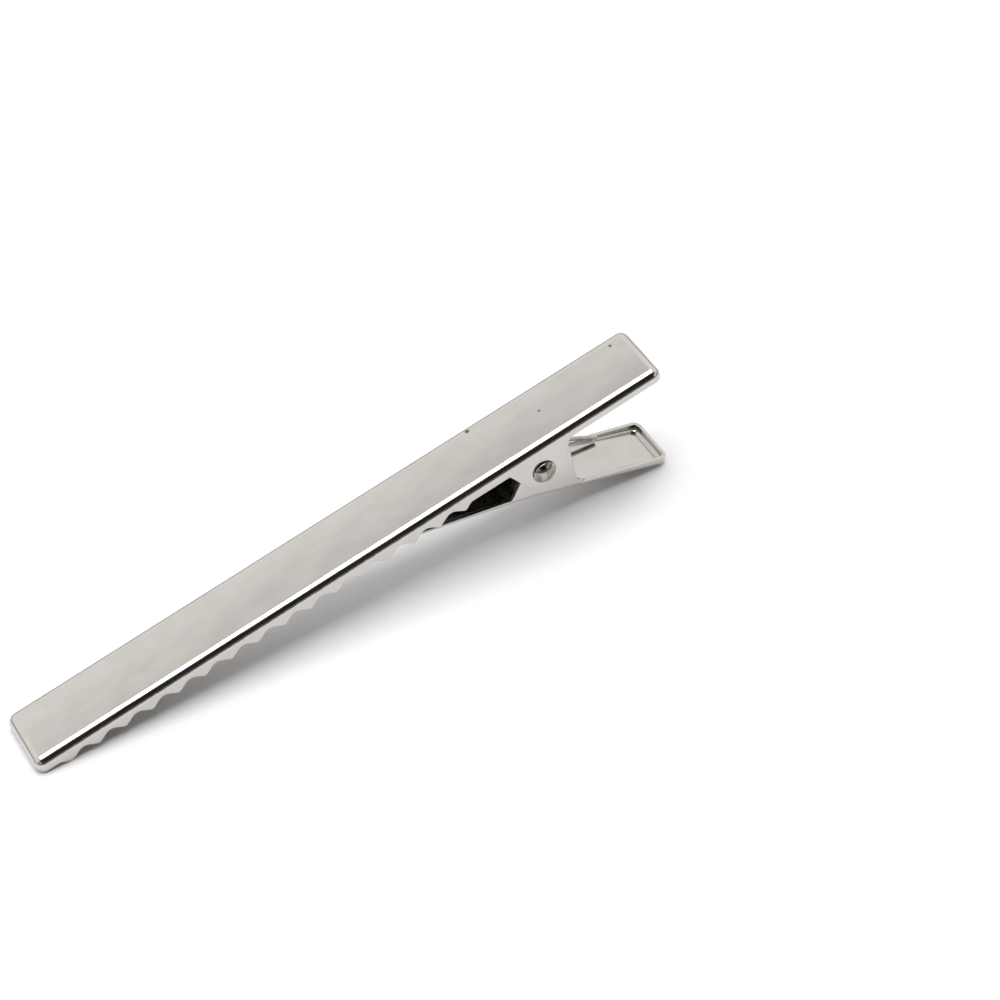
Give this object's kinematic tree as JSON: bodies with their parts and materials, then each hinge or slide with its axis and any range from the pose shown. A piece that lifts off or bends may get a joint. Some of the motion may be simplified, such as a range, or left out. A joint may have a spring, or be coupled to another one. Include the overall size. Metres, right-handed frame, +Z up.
{
  "type": "alligator hair clip",
  "caption": "Flat metal alligator hair clip: toothed upper jaw and narrower bent lower jaw on a rivet, held shut by a torsion spring.",
  "frame": {"origin": "on the surface the closed clip rests on, under the middle of its box", "axes": "+X from the jaw tips to the thumb tails, +Y across the clip along the pivot, +Z up"},
  "size_m": [0.0764, 0.0098, 0.0158],
  "materials": {
    "jaw_nickel": "thin bright nickel plate over stamped steel, satin gloss",
    "rivet_nickel": "bright nickel plate, domed heads",
    "spring_wire": "drawn spring wire"
  },
  "bodies": {
    "lower_jaw": {"lower_jaw": "jaw_nickel"},
    "upper_jaw": {"upper_jaw": "jaw_nickel", "pivot_rivet": "rivet_nickel", "torsion_spring": "spring_wire"}
  },
  "joints": [
    {"name": "jaw_pivot", "type": "hinge", "parent": "lower_jaw", "child": "upper_jaw", "pos_m": [0.02243, 0, 0.00918], "axis": [0, 1, 0], "range_deg": [0, 47], "stiffness_Nm_per_rad": 0.08, "springref_deg": -40.11, "deforming": ["torsion_spring"]}
  ]
}
